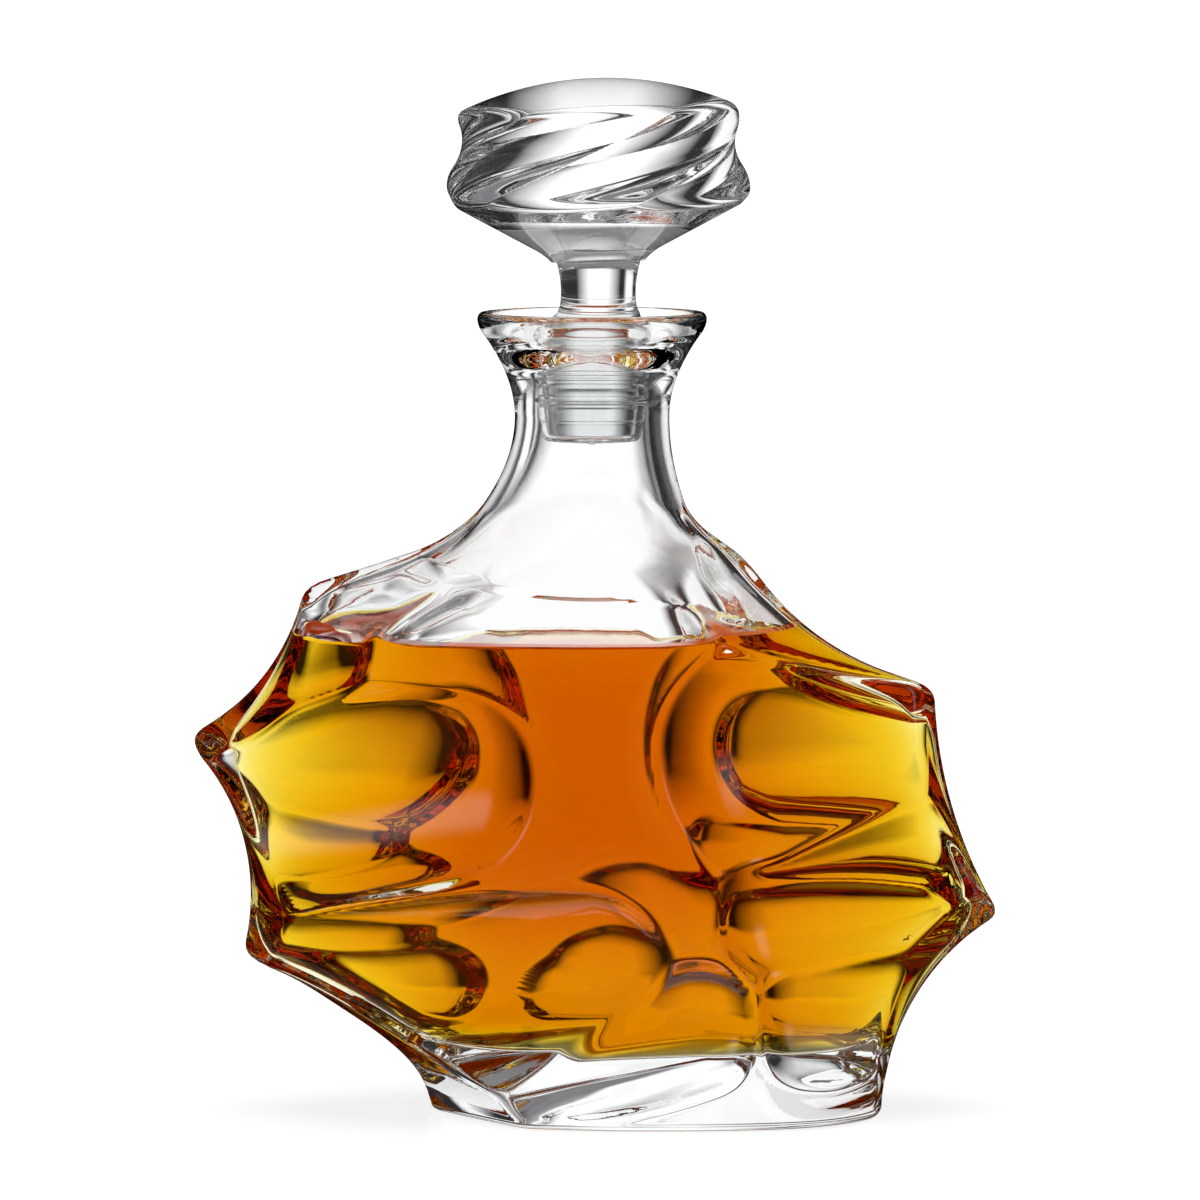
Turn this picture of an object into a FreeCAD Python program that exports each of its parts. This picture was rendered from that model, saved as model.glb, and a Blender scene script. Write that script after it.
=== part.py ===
"""Sculpted crystal spirit decanter with a fluted glass stopper, a moulded sealing sleeve and its fill of spirit.

Row frame: millimetres, +Z up, the wide face towards -Y, and the origin on the neck's axis at the
table. The vessel is one piece of glass: a star-edged lens with long scoops pressed into both faces, an
offset oval foot and a round neck with a flared mouth. Each freeform skin is found as the zero of a
distance-like field along a fan of rays, and becomes one B-spline face, closed round the axis.
"""

import FreeCAD, Part
import math
import os

# ---- driving dimensions ----
FILL_Z = 110.5  # level of the spirit
FLOOR_Z = 14.5  # top of the thick glass foot, inside
WALL = 4.6  # glass between a scoop and the cavity
NECK_R = 18.1  # the neck's outside at its narrowest
NECK_Z = 162.0  # height of that waist
NECK_WALL = 4.8
MOUTH_Z = 186.0  # top of the lip
BORE_R = 13.35
BORE_TOP_Z = 173.0
HALF_DEPTH = 44.0  # front to middle, at the thickest
MIDDLE_Z = 65.0  # height of the thickest section
FOOT_X = 15.2  # the foot stands this far to the right of the neck
FOOT_HALF_WIDTH = 54.0
FOOT_HALF_DEPTH = 38.5
TWIST = math.radians(0.28)  # turn of the star outline, per millimetre of depth
FILL_GAP = 0.45  # the spirit's solid stands clear of the glass by this
TOTAL_Z = 240.0  # top of the stopper
HEAD_Z = 222.0  # middle of the stopper's head
HEAD_R = 34.6
DOME_R = 80.0
DOME_X = 3.4  # the dome's crown stands this far to the right
HEAD_X = 1.5  # the head and stem stand this far to the right of the tang's axis
FLUTES = 6
FLUTE_R = 14.0  # radius of a flute's hollow
FLUTE_SLANT = math.radians(24)
RIDGE_Z = 216.0  # height where a ridge crosses the head's right-hand side
SHANK_R = 8.8
TANG_TOP_Z = 181.0
TANG_FOOT_Z = 157.5
TANG_TOP_R = 11.4
TANG_FOOT_R = 10.0
TANG_CLEARANCE = 0.05
SLEEVE_FOOT_Z = 156.0

# ---- resolution of the freeform skins ----
ROUND = 120  # poles round the vessel
HEAD_ROUND = 112  # poles round the stopper
ROW = 3.0  # height of a row on the body
RAY_START = 150.0
BISECTIONS = 17

# Points of the star outline on the middle plane (x, z), clockwise from the left shoulder.
LEFT_SHOULDER = (-67.5, 121.6)
LEFT_TIP = (-94.2, 87.0)
LEFT_HIP = (-82.0, 37.0)
LEFT_HEEL = (-37.5, 0.0)
RIGHT_HEEL = (68.9, 7.7)
RIGHT_TIP = (95.4, 45.6)
RIGHT_BROW = (80.3, 99.3)
RIGHT_SHOULDER = (36.4, 128.4)
# Each side of the star is a hollow arc: its two points and how deep it is.
SIDES = [
    (LEFT_SHOULDER, LEFT_TIP, 4.7),
    (LEFT_TIP, LEFT_HIP, 6.3),
    (LEFT_HIP, LEFT_HEEL, 4.4),
    (RIGHT_HEEL, RIGHT_TIP, 4.9),
    (RIGHT_TIP, RIGHT_BROW, 3.6),
    (RIGHT_BROW, RIGHT_SHOULDER, 5.5),
]
LEFT_SLOPE = math.atan(0.335)  # the shoulder's fall to the left
RIGHT_SLOPE = math.atan(0.70)
EDGE_BEVEL = 0.40  # the star narrows by this much per millimetre from the middle plane
SHOULDER_BEVEL = 0.30

# Scoops: floor at the rim of the star, floor at the inner end, radius of the tool.
FRONT_SCOOPS = [
    ((-87, -6, 67), (-26, -33.0, 79), 31),
    ((78, -8, 112), (34, -28.0, 96), 48),
    ((92, -8, 67), (41, -31.0, 53), 28),
    ((82, -12, 23), (47, -30.0, 26), 25),
    ((-70, -10, 22), (5, -31.0, 32), 27),
    ((-34, -33, 2), (24, -31.0, 23), 18),
    ((-80, -9, 104), (-60, -22, 112), 26),
]
BACK_SCOOPS = [
    ((90, 6, 70), (28, 34.0, 80), 31),
    ((-80, 8, 104), (-36, 28.0, 92), 47),
    ((-88, 8, 64), (-46, 31.0, 53), 29),
    ((-66, 13, 22), (-32, 31.0, 27), 26),
    ((84, 11, 20), (8, 32.0, 31), 27),
    ((58, 34, 2), (4, 31.0, 22), 18),
    ((72, 9, 112), (60, 20, 114), 26),
]
SCOOP_LEAD = 30.0  # the tool starts this far outside the rim


# ---- small vector and blending helpers ----
def dot(a, b):
    return sum(i * j for i, j in zip(a, b))


def unit(a):
    length = math.sqrt(dot(a, a))
    return tuple(i / length for i in a)


def smooth_max(a, b, k):
    """The larger of a and b, with the crease between them rounded over a width k."""
    if a - b > k:
        return a
    if b - a > k:
        return b
    h = 0.5 + 0.5 * (a - b) / k
    return b + (a - b) * h + k * h * (1 - h)


def smooth_min(a, b, k):
    return -smooth_max(-a, -b, k)


def smooth_step(t):
    t = max(0.0, min(1.0, t))
    return t * t * (3 - 2 * t)


# ---- the vessel's field: negative inside the glass's outer skin ----
def side_circle(side):
    """Centre and radius of the hollow arc between two points of the star."""
    (ax, az), (bx, bz), sagitta = side
    dx, dz = bx - ax, bz - az
    chord = math.hypot(dx, dz)
    radius = (chord / 2) ** 2 / (2 * sagitta) + sagitta / 2
    mx, mz = (ax + bx) / 2, (az + bz) / 2
    nx, nz = -dz / chord, dx / chord
    if nx * mx + nz * (mz - MIDDLE_Z) < 0:
        nx, nz = -nx, -nz
    return mx + nx * (radius - sagitta), mz + nz * (radius - sagitta), radius


def scoop_tool(scoop):
    """A round-ended bar whose lowest line runs from the scoop's rim floor to its inner floor."""
    rim, inner, radius = scoop
    along = unit([b - a for a, b in zip(rim, inner)])
    out = unit(((rim[0] + inner[0]) * 0.175, (rim[1] + inner[1]) / 2, 0.0))
    lean = dot(out, along)
    lift = unit([o - lean * a for o, a in zip(out, along)])
    start = tuple(r + n * radius - a * SCOOP_LEAD for r, n, a in zip(rim, lift, along))
    end = tuple(i + n * radius for i, n in zip(inner, lift))
    span = tuple(e - s for s, e in zip(start, end))
    return start, span, dot(span, span), radius


CIRCLES = [side_circle(side) for side in SIDES]
TOOLS = [scoop_tool(scoop) for scoop in FRONT_SCOOPS + BACK_SCOOPS]


def inside_bar(x, y, z, tool):
    """How far a point is inside a round-ended bar."""
    (sx, sy, sz), (dx, dy, dz), square, radius = tool
    px, py, pz = x - sx, y - sy, z - sz
    t = max(0.0, min(1.0, (px * dx + py * dy + pz * dz) / square))
    return radius - math.sqrt((px - t * dx) ** 2 + (py - t * dy) ** 2 + (pz - t * dz) ** 2)


def oval(x, y, half_x, half_y, power):
    """A superellipse's field, close to a distance on its long faces."""
    reach = ((abs(x) / half_x) ** power + (abs(y) / half_y) ** power) ** (1 / power)
    return (reach - 1) * half_y


def half_depth(z):
    """The lens's half thickness: a slight belly below the middle, swept in to the neck over the shoulder."""
    belly = 5.5 * (min(z - MIDDLE_Z, 0.0) / MIDDLE_Z) ** 2
    return HALF_DEPTH - belly - 25.0 * smooth_step((z - 88.0) / 66.0)


def body_field(x, y, z, k):
    """The star-edged, scooped body. k rounds its ridges."""
    rise = max(z - 2.0, 0.0)
    foot = oval(x - FOOT_X, y, FOOT_HALF_WIDTH + 0.0445 * rise**2, FOOT_HALF_DEPTH + 0.7 * rise, 2.4)
    field = smooth_max(oval(x, y, 108.0, half_depth(z), 2.3), foot, 4.0)
    c, s = math.cos(TWIST * y), math.sin(TWIST * y)
    u = x * c - (z - MIDDLE_Z) * s
    v = MIDDLE_Z + x * s + (z - MIDDLE_Z) * c
    depth = math.sqrt(y * y + 9.0) - 3.0
    star = -1e3
    for cx, cz, radius in CIRCLES:
        star = smooth_max(star, radius - math.hypot(u - cx, v - cz) + EDGE_BEVEL * depth, k)
    for (px, pz), slope, way in ((LEFT_SHOULDER, LEFT_SLOPE, -1), (RIGHT_SHOULDER, RIGHT_SLOPE, 1)):
        roof = way * (u - px) * math.sin(slope) + (v - pz) * math.cos(slope)
        star = smooth_max(star, roof + SHOULDER_BEVEL * depth, k)
    field = smooth_max(field, star, k + 12.0 * smooth_step((z - 118.0) / 26.0))
    for tool in TOOLS:
        field = smooth_max(field, inside_bar(x, y, z, tool), k)
    return field


def neck_radius(z, side=0.0):
    """Outside radius of the neck: a waist, a flare to the mouth above and a skirt below.

    side runs from -1 at the left of the neck to 1 at its right: the skirt spreads most to the left.
    """
    if z > NECK_Z:
        return NECK_R + 8.2 * ((z - NECK_Z) / 20.0) ** 1.9
    spread = 0.0072 + side**2 * (0.00595 - 0.00435 * side)
    return min(NECK_R + spread * (NECK_Z - z) ** 2, 30.0 + 10.0 * side**2)


def side_of(x, y):
    return x / max(math.hypot(x, y), 0.001)


def neck_field(x, y, z, wall):
    """The neck as a round bar that ends inside the body."""
    return max(math.hypot(x, y) - neck_radius(z, side_of(x, y)) + wall, 112.0 - z)


def neck_blend(x, y, z, widest):
    """Width of the fillet between shoulder and neck: tighter at the sides, and gone by the waist."""
    side = side_of(x, y)
    width = widest * (1 - 0.6 * side**2 - 0.15 * side)
    return max(0.5, width * (1 - smooth_step((z - 135.0) / 25.0)))


def outer_field(x, y, z):
    return smooth_min(body_field(x, y, z, 1.4), neck_field(x, y, z, 0.0), neck_blend(x, y, z, 12.0))


def cavity_field(x, y, z):
    """The hollow: the body taken in by the wall, with softer ridges, a flat floor and the neck's bore."""
    body = smooth_max(body_field(x, y, z, 8.0) + WALL, FLOOR_Z - z, 6.0)
    return smooth_min(body, neck_field(x, y, z, NECK_WALL), neck_blend(x, y, z, 10.0))


# ---- the stopper's field: round, with flutes that wind up the head ----
def flute_depth(x, y, z):
    """Depth of the scalloped flutes, which climb to the right as seen from outside."""
    pitch = 2 * math.pi * HEAD_R / FLUTES * math.sin(FLUTE_SLANT)
    across = HEAD_R * math.atan2(y, x) * math.sin(FLUTE_SLANT) - (z - RIDGE_Z) * math.cos(FLUTE_SLANT)
    turns = across / pitch
    across = (turns - math.floor(turns) - 0.5) * pitch
    return math.sqrt(FLUTE_R**2 - across**2) - math.sqrt(FLUTE_R**2 - pitch**2 / 4)


def stopper_radius(z):
    """Outside radius of the round stem under the head."""
    return SHANK_R + 0.021 * (z - 190.5) ** 2


def head_field(x, y, z):
    x -= HEAD_X
    r = math.hypot(x, y)
    dome = math.sqrt((x + HEAD_X - DOME_X) ** 2 + y * y + (z - TOTAL_Z + DOME_R) ** 2) - DOME_R
    side = (r - HEAD_R - (HEAD_Z - z) * 0.16) * 0.98
    side += flute_depth(x, y, z) * smooth_step((r - 6.0) / 12.0)
    cone = (math.hypot(x + 0.9, y) - 30.9) * 0.466 - (z - 209.1) * 0.885
    head = smooth_max(smooth_max(dome, side, 1.6), cone, 2.2)
    stem = max(r - stopper_radius(z), z - 212.0, 185.0 - z)
    return smooth_min(head, stem, 4.0)


# ---- freeform skins ----
def ray_hit(field, origin, direction, level):
    """The point where a ray from inside leaves the field's level."""
    near, far = 0.0, RAY_START
    for _ in range(BISECTIONS):
        middle = (near + far) / 2
        point = [o + d * middle for o, d in zip(origin, direction)]
        if field(*point) < level:
            near = middle
        else:
            far = middle
    return FreeCAD.Vector(*[o + d * near for o, d in zip(origin, direction)])


def fan_row(field, x, z, tilt, stretch, count, level=0.0):
    """A ring of points from one axis point. stretch crowds the rays towards the ends of the oval."""
    row = []
    for i in range(count):
        a = 2 * math.pi * i / count
        cx, cy, _ = unit((stretch * math.cos(a), math.sin(a), 0.0))
        direction = (cx * math.cos(tilt), cy * math.cos(tilt), math.sin(tilt))
        row.append(ray_hit(field, (x, 0.0, z), direction, level))
    return row


def ring(radius, z, count, x=0.0):
    """Poles of a closed cubic spline that is a circle of this radius about the point (x, 0, z)."""
    pole = radius * 3 / (2 + math.cos(2 * math.pi / count))
    turn = [2 * math.pi * i / count for i in range(count)]
    return [FreeCAD.Vector(x + pole * math.cos(a), pole * math.sin(a), z) for a in turn]


def flattened(row, z):
    return [FreeCAD.Vector(p.x, p.y, z) for p in row]


def inset(row, centre_x, amount):
    """The ring drawn in towards (centre_x, 0) by an amount."""
    moved = []
    for p in row:
        away = FreeCAD.Vector(p.x - centre_x, p.y, 0)
        moved.append(p - away * (amount / away.Length))
    return moved


def skin_solid(rows):
    """One cubic B-spline face through rings of poles, closed at both ends with flat faces."""
    count, length = len(rows[0]), len(rows)
    poles = [[row[i] for row in rows] for i in range(count)]
    surface = Part.BSplineSurface()
    surface.buildFromPolesMultsKnots(
        poles,
        [1] * (count + 1),
        [4] + [1] * (length - 4) + [4],
        [float(i) for i in range(count + 1)],
        [float(i) for i in range(length - 2)],
        True,
        False,
        3,
        3,
    )
    skin = surface.toShape()
    closed = [e for e in skin.Edges if e.isClosed()]
    caps = [Part.Face(Part.Wire([e])) for e in closed]
    shell = Part.Shell([skin] + caps)
    shell.sewShape()
    solid = Part.Solid(shell)
    if solid.Volume < 0:
        solid.reverse()
    return solid


# Rays over the shoulder: height on the axis and tilt in degrees, from level to level.
SHOULDER_FAN = [
    (106.5, 8), (107.5, 16), (108.5, 23), (110, 30), (112, 36), (114.5, 41.5), (117.5, 46), (121, 49.5),
    (125, 51), (129.5, 50.5), (134, 48), (139, 43.5), (144, 37), (149, 29), (153.5, 20), (157.5, 11),
]
# The same over the cavity's shoulder, which starts from the spirit's level.
THROAT_FAN = [(111.2, 9), (112.2, 18), (113.6, 27), (115.4, 35), (117.8, 42), (120.8, 47)] + SHOULDER_FAN[8:]


def body_rows(field, low, high, level=0.0):
    """Level rings up the body. The axis point slides from the foot's middle to the neck's axis."""
    rows = []
    steps = max(1, round((high - low) / ROW))
    for i in range(steps + 1):
        z = low + (high - low) * i / steps
        x = FOOT_X * (1 - smooth_step(z / 70.0))
        rows.append(fan_row(field, x, z, 0.0, 2.0, ROUND, level))
    return rows


def shoulder_rows(field, fan):
    rows = []
    for i, (z, tilt) in enumerate(fan):
        stretch = 2.0 - smooth_step((i + 1) / len(fan))
        rows.append(fan_row(field, 0.0, z, math.radians(tilt), stretch, ROUND))
    return rows


def floor_rows(field, start_z, level):
    """Rings from the cavity's side down round its corner and in over the flat floor."""
    rows = []
    for tilt in (12, 22, 30, 37, 44, 51, 58, 66):
        rows.append(fan_row(field, FOOT_X, start_z, -math.radians(tilt), 1.6, ROUND, level))
    return rows


def glass_vessel():
    """The vessel's glass as one skin: up the outside, over the lip and down the cavity to its floor."""
    rows = body_rows(outer_field, 0.0, 105.0)
    heel = inset(flattened(rows[0], 0.0), FOOT_X, 2.2)
    rows[0:1] = [heel, inset(flattened(heel, 0.25), FOOT_X, -1.4), inset(flattened(heel, 1.2), FOOT_X, -2.2)]
    rows += shoulder_rows(outer_field, SHOULDER_FAN)
    for z in (NECK_Z, 164.5, 167, 169.5, 172, 174.5, 177, 179.5, 181.5):
        rows.append(ring(neck_radius(z), z, ROUND))
    lip = [(26.7, 183.2), (26.9, 184.6), (26.4, 185.8), (25.4, MOUTH_Z), (24.5, 185.6), (23.8, 184.6)]
    funnel = [(22.4, 182.6), (20.2, 180.2), (17.8, 178), (15.8, 176.3), (14.4, 175), (13.6, 174)]
    bore = [(BORE_R, z) for z in (BORE_TOP_Z, 172, 170, 167.5, 165, 162.5, 160.5)]
    for radius, z in lip + funnel + bore:
        rows.append(ring(radius, z, ROUND))
    rows += reversed(shoulder_rows(cavity_field, THROAT_FAN))
    rows += reversed(body_rows(cavity_field, 30.0, FILL_Z))
    floor = floor_rows(cavity_field, 30.0, 0.0)
    rows += floor
    last = flattened(floor[-1], FLOOR_Z)
    rows += [inset(last, FOOT_X, 1.5), inset(last, FOOT_X, 3.0)]
    return skin_solid(rows)


def spirit():
    """The spirit up to its level surface, clear of the glass by FILL_GAP."""
    floor = floor_rows(cavity_field, 30.0, -FILL_GAP)
    last = flattened(floor[-1], FLOOR_Z + FILL_GAP)
    rows = [inset(last, FOOT_X, 3.0), inset(last, FOOT_X, 1.5)] + floor[::-1]
    rows += body_rows(cavity_field, 30.0, FILL_Z, -FILL_GAP)
    top = rows[-1]
    rows[-1:] = [flattened(top, FILL_Z - 0.6), flattened(top, FILL_Z)]
    return skin_solid(rows)


def glass_stopper():
    """Head, stem, collar and tapered tang as one skin, from the top of the dome to the tang's foot."""
    rows = []
    for tilt in (86, 81, 75, 68, 61, 54, 47, 40.5, 34.5, 29, 24, 19.5, 15.5, 12, 8.5, 5, 1.5, -2, -5.5, -9, -12.5):
        rows.append(fan_row(head_field, HEAD_X, HEAD_Z - 4, math.radians(tilt), 1.0, HEAD_ROUND))
    for tilt in (16, 20, 25, 31, 38, 46, 54, 61.5):
        rows.append(fan_row(head_field, HEAD_X, HEAD_Z - 4, -math.radians(tilt), 1.0, HEAD_ROUND))
    crown = flattened(rows[0], rows[0][0].z)
    rows[0] = crown
    for z in (197.0, 194.5, 192, 190, 188):
        rows.append(ring(stopper_radius(z), z, HEAD_ROUND, HEAD_X))
    collar = [(9.3, 186), (10.3, 184.8), (11.0, 184), (11.0, 183), (10.8, 182.6), (11.4, 182.2), (11.8, 181.7)]
    tang = [(TANG_TOP_R, z) for z in (TANG_TOP_Z, 179, 176.5)]
    taper = (TANG_TOP_R - TANG_FOOT_R) / (176.5 - TANG_FOOT_Z)
    tang += [(TANG_TOP_R - taper * (176.5 - z), z) for z in (174, 171, 168, 165, 162, 159.5)]
    foot = [(TANG_FOOT_R, 158.2), (TANG_FOOT_R - 0.6, TANG_FOOT_Z), (TANG_FOOT_R - 2.0, TANG_FOOT_Z)]
    for radius, z in collar + tang + foot:
        shift = HEAD_X * smooth_step((z - 182.6) / 3.4)
        rows.append(ring(radius, z, HEAD_ROUND, shift))
    return skin_solid(rows)


def tang_radius(z):
    """The tang's own radius: straight near its top, then a taper."""
    share = max(0.0, min(1.0, (176.5 - z) / (176.5 - TANG_FOOT_Z)))
    return TANG_TOP_R - share * (TANG_TOP_R - TANG_FOOT_R)


def sealing_sleeve():
    """The moulded sleeve: a flared brim that rests in the mouth, two sealing lips and a closed, tapered cup."""
    lip_r = BORE_R - TANG_CLEARANCE
    outside = [
        (12.6, 180.4), (13.7, 180.2), (14.0, 179.6), (13.9, 176.6), (13.4, 176.0), (12.75, 175.6),
        (12.75, 173.2), (lip_r, 172.6), (lip_r, 171.6), (12.75, 171.0), (12.6, 167.6), (lip_r - 0.1, 167.0),
        (lip_r - 0.1, 166.2), (12.5, 165.6), (12.0, 161.0), (11.5, 157.8), (10.9, 156.5), (9.6, SLEEVE_FOOT_Z),
        (1.1, SLEEVE_FOOT_Z), (0.8, 155.3), (0.0, 155.2),
    ]
    inside = [(0.0, TANG_FOOT_Z - 0.3), (TANG_FOOT_R - 0.2, TANG_FOOT_Z - 0.3), (TANG_FOOT_R + 0.12, 158.0)]
    for z in (160.0, 165.0, 170.0, 176.5, 180.4):
        inside.append((tang_radius(z) + TANG_CLEARANCE, z))
    outline = [FreeCAD.Vector(r, 0, z) for r, z in outside + inside]
    wire = Part.makePolygon(outline + outline[:1])
    return Part.Face(wire).revolve(FreeCAD.Vector(), FreeCAD.Vector(0, 0, 1), 360)


os.makedirs("parts", exist_ok=True)
PIECES = {
    "decanter_body": glass_vessel,
    "spirit_fill": spirit,
    "stopper": glass_stopper,
    "sealing_sleeve": sealing_sleeve,
}
for name, make in PIECES.items():
    shape = make()
    shape.exportStep(f"parts/{name}.step")
    box = shape.BoundBox
    print(
        f"{name}: valid {shape.isValid()}, {shape.ShapeType}, {shape.Volume / 1000:.1f} cm3, "
        f"x {box.XMin:.1f}..{box.XMax:.1f}, y {box.YMin:.1f}..{box.YMax:.1f}, z {box.ZMin:.2f}..{box.ZMax:.2f}"
    )
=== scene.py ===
import math

import bpy
import numpy as np
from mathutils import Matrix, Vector


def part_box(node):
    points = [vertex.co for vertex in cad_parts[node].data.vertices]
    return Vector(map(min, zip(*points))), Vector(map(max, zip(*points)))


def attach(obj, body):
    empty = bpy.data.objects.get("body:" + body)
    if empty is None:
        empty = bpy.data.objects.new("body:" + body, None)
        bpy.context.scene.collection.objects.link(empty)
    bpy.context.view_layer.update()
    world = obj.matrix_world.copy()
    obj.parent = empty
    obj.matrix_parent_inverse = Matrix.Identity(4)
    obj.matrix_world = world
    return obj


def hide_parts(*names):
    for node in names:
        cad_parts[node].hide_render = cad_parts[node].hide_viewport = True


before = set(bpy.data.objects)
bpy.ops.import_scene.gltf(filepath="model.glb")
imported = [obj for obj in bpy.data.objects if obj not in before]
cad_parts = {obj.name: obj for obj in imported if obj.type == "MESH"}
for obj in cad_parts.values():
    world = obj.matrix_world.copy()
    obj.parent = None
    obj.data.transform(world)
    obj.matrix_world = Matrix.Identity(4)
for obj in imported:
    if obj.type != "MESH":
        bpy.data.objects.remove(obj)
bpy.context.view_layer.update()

# Every shape below is in millimetres in the row frame: +Z up, the wide face towards -Y, and the origin on
# the neck's axis at the table. A field is negative inside its skin.

# ---- the vessel's dimensions ----
FILL_Z = 110.5  # level of the spirit
FLOOR_Z = 14.5  # top of the thick glass foot, inside
WALL = 4.6  # glass between a scoop and the cavity
NECK_R = 18.1  # the neck's outside at its narrowest
NECK_Z = 162.0  # height of that waist
NECK_WALL = 4.8
MOUTH_Z = 186.0  # top of the lip
BORE_R = 13.35
HALF_DEPTH = 44.0  # front to middle, at the thickest
MIDDLE_Z = 65.0  # height of the thickest section
BODY_HALF_WIDTH = 108.0
FOOT_X = 15.2  # the foot stands this far to the right of the neck
FOOT_HALF_WIDTH = 54.0
FOOT_HALF_DEPTH = 38.5
HEEL_R = 1.4  # rounding under the foot's edge
CORNER_Z = 30.0  # the cavity's side ends here, and its rounded bottom corner starts
CORNER_TILT = 66.0  # the steepest ray into that corner, in degrees below the level
TWIST = math.radians(0.28)  # turn of the star outline, per millimetre of depth
FILL_GAP = 0.02  # the liquid's skin lies this far inside the cavity's
CREEP = 1.1  # the liquid climbs the glass by this at its edge
CREEP_REACH = 0.9  # and falls back to level over a few times this

# Points of the star outline on the middle plane (x, z), clockwise from the left shoulder.
LEFT_SHOULDER = (-67.5, 121.6)
LEFT_TIP = (-94.2, 87.0)
LEFT_HIP = (-82.0, 37.0)
LEFT_HEEL = (-37.5, 0.0)
RIGHT_HEEL = (68.9, 7.7)
RIGHT_TIP = (95.4, 45.6)
RIGHT_BROW = (80.3, 99.3)
RIGHT_SHOULDER = (36.4, 128.4)
LEFT_SLOPE = math.atan(0.335)  # the shoulder's fall to the left
RIGHT_SLOPE = math.atan(0.70)
EDGE_BEVEL = 0.40  # the star narrows by this much per millimetre from the middle plane
SHOULDER_BEVEL = 0.30
RIDGE_ROUNDING = 2.0
CAVITY_ROUNDING = 8.0
# Each side of the star is a hollow arc: its two points and how deep it is.
SIDES = [
    (LEFT_SHOULDER, LEFT_TIP, 4.7),
    (LEFT_TIP, LEFT_HIP, 6.3),
    (LEFT_HIP, LEFT_HEEL, 4.4),
    (RIGHT_HEEL, RIGHT_TIP, 4.9),
    (RIGHT_TIP, RIGHT_BROW, 3.6),
    (RIGHT_BROW, RIGHT_SHOULDER, 5.5),
]
# Scoops: floor at the rim of the star, floor at the inner end, radius of the tool. The front's come first.
SCOOPS = [
    ((-87, -6, 67), (-26, -33.0, 79), 31),
    ((78, -8, 112), (34, -28.0, 96), 48),
    ((92, -8, 67), (41, -31.0, 53), 28),
    ((82, -12, 23), (47, -30.0, 26), 25),
    ((-70, -10, 22), (5, -31.0, 32), 27),
    ((-34, -33, 2), (24, -31.0, 23), 18),
    ((-80, -9, 104), (-60, -22, 112), 26),
    ((90, 6, 70), (28, 34.0, 80), 31),
    ((-80, 8, 104), (-36, 28.0, 92), 47),
    ((-88, 8, 64), (-46, 31.0, 53), 29),
    ((-66, 13, 22), (-32, 31.0, 27), 26),
    ((84, 11, 20), (8, 32.0, 31), 27),
    ((58, 34, 2), (4, 31.0, 22), 18),
    ((72, 9, 112), (60, 20, 114), 26),
]
SCOOP_LEAD = 30.0  # the tool starts this far outside the rim

# ---- the stopper's dimensions ----
TOTAL_Z = 240.0  # top of the head
HEAD_Z = 222.0  # middle of the head
HEAD_R = 34.6
DOME_R = 80.0
DOME_X = 3.4  # the dome's crown stands this far to the right
HEAD_X = 1.5  # the head and stem stand this far to the right of the tang's axis
SHIFT_Z = 182.6  # that step to the side starts here, going up
SHIFT_SPAN = 3.4
FLUTES = 6
FLUTE_R = 14.0  # radius of a flute's hollow
FLUTE_SLANT = math.radians(24)
RIDGE_Z = 216.0  # height where a ridge crosses the head's right-hand side
SHANK_R = 8.8
TANG_TOP_R = 11.4
TANG_FOOT_R = 10.0
TANG_FOOT_Z = 157.5
TAPER_Z = 176.5  # the tang tapers below this

# ---- how finely the skins are drawn ----
FULL_ROUND = 512
ROUND = FULL_ROUND  # points in a ring
SLEEVE_ROUND = 256
ROW = 0.8  # height of a row on the body, at full resolution
RAY_END = 150.0
BISECTIONS = 20


def unit(a):
    a = np.asarray(a, float)
    return a / np.linalg.norm(a)


def smooth_max(a, b, k):
    """The larger of a and b, with the crease between them rounded over a width k."""
    h = np.clip(0.5 + 0.5 * (a - b) / k, 0, 1)
    return b + (a - b) * h + k * h * (1 - h)


def smooth_min(a, b, k):
    return -smooth_max(-a, -b, k)


def smooth_step(t):
    t = np.clip(t, 0, 1)
    return t * t * (3 - 2 * t)


# ---- the vessel's fields ----
def side_circle(side):
    """Centre and radius of the hollow arc between two points of the star."""
    (ax, az), (bx, bz), sagitta = side
    dx, dz = bx - ax, bz - az
    chord = math.hypot(dx, dz)
    radius = (chord / 2) ** 2 / (2 * sagitta) + sagitta / 2
    mx, mz = (ax + bx) / 2, (az + bz) / 2
    nx, nz = -dz / chord, dx / chord
    if nx * mx + nz * (mz - MIDDLE_Z) < 0:
        nx, nz = -nx, -nz
    return mx + nx * (radius - sagitta), mz + nz * (radius - sagitta), radius


def scoop_tool(scoop):
    """A round-ended bar whose lowest line runs from the scoop's rim floor to its inner floor."""
    rim, inner, radius = np.array(scoop[0], float), np.array(scoop[1], float), scoop[2]
    along = unit(inner - rim)
    out = unit(((rim[0] + inner[0]) * 0.175, (rim[1] + inner[1]) / 2, 0.0))
    lift = unit(out - out.dot(along) * along)
    start = rim + lift * radius - along * SCOOP_LEAD
    span = inner + lift * radius - start
    return start, span, span.dot(span), radius


CIRCLES = [side_circle(side) for side in SIDES]
TOOLS = [scoop_tool(scoop) for scoop in SCOOPS]


def inside_bar(x, y, z, tool):
    """How far a point is inside a round-ended bar."""
    (sx, sy, sz), (dx, dy, dz), square, radius = tool
    px, py, pz = x - sx, y - sy, z - sz
    t = np.clip((px * dx + py * dy + pz * dz) / square, 0, 1)
    return radius - np.sqrt((px - t * dx) ** 2 + (py - t * dy) ** 2 + (pz - t * dz) ** 2)


def oval(x, y, half_x, half_y, power):
    """A superellipse's field, close to a distance on its long faces."""
    return (((np.abs(x) / half_x) ** power + (np.abs(y) / half_y) ** power) ** (1 / power) - 1) * half_y


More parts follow.
